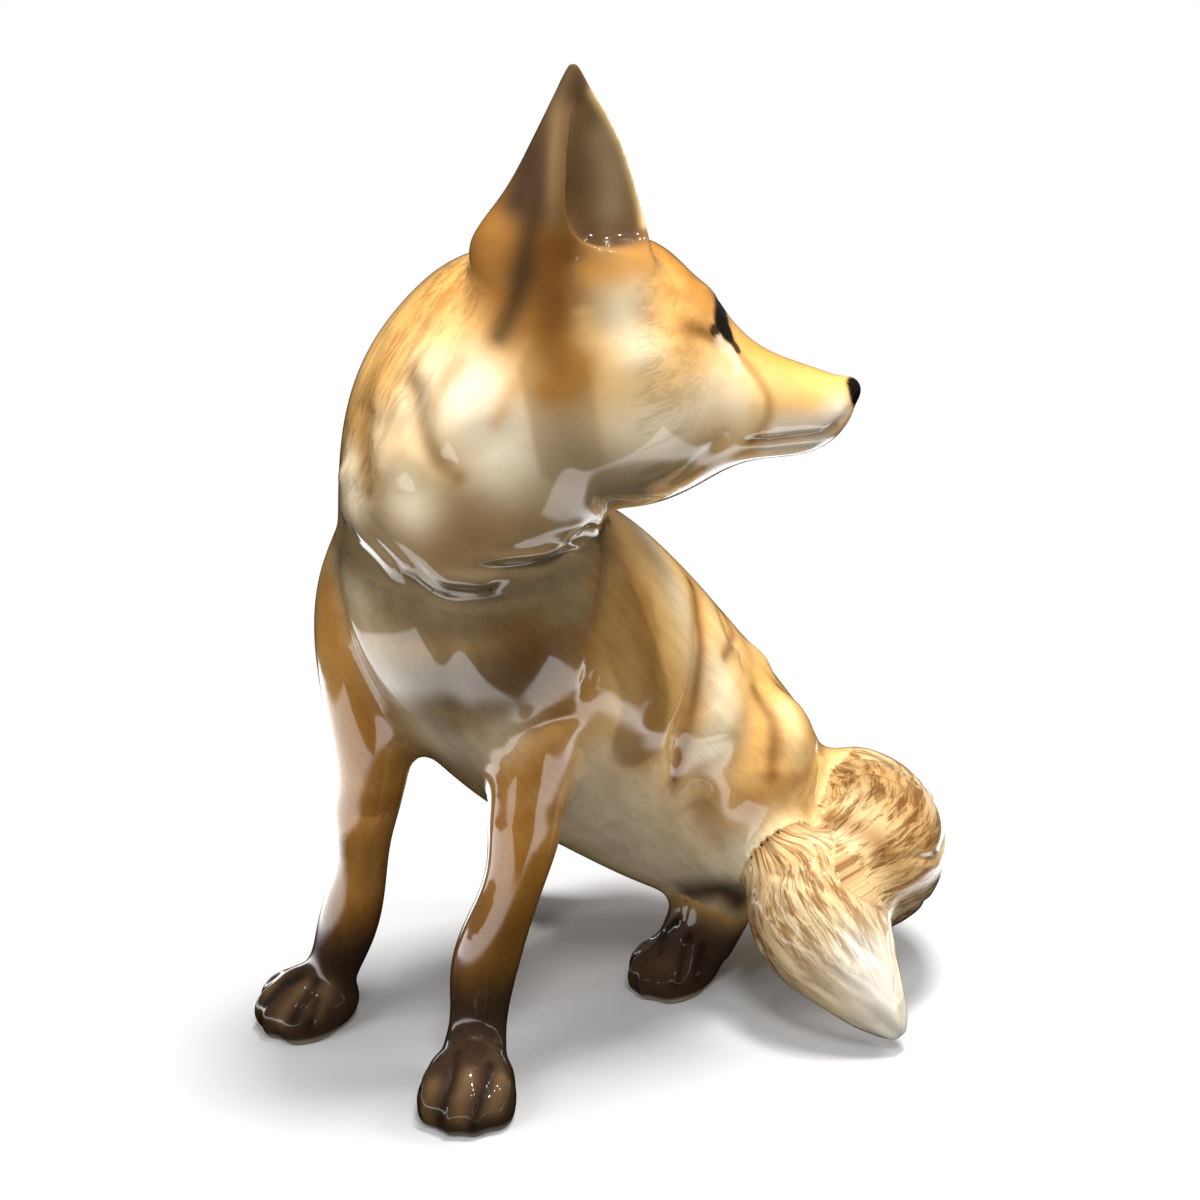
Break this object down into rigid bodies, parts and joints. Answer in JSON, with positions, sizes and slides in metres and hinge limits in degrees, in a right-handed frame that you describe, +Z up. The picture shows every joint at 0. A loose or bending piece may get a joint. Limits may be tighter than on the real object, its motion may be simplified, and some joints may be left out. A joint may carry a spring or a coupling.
{
  "type": "fox figurine",
  "caption": "Seated porcelain fox figurine looking back over its left shoulder, tail looped beside the haunch, glazed and airbrushed in tan, cream and dark brown.",
  "frame": {"origin": "on the floor, under the middle of the figurine's box", "axes": "+Z up, the forefeet towards -Y, the fox's left side towards +X"},
  "size_m": [0.1554, 0.2006, 0.281],
  "materials": {
    "glazed_body": "gloss",
    "slip": "matt"
  },
  "bodies": {
    "root": {"torso": "glazed_body", "head": "glazed_body", "left_ear": "glazed_body", "right_ear": "glazed_body", "left_foreleg": "glazed_body", "right_foreleg": "glazed_body", "left_hind_foot": "glazed_body", "right_hind_foot": "glazed_body", "tail": "glazed_body", "neck_lute": "slip", "left_ear_lute": "slip", "right_ear_lute": "slip", "left_foreleg_lute": "slip", "right_foreleg_lute": "slip", "left_hind_foot_lute": "slip", "right_hind_foot_lute": "slip", "tail_lute": "slip"}
  },
  "joints": []
}
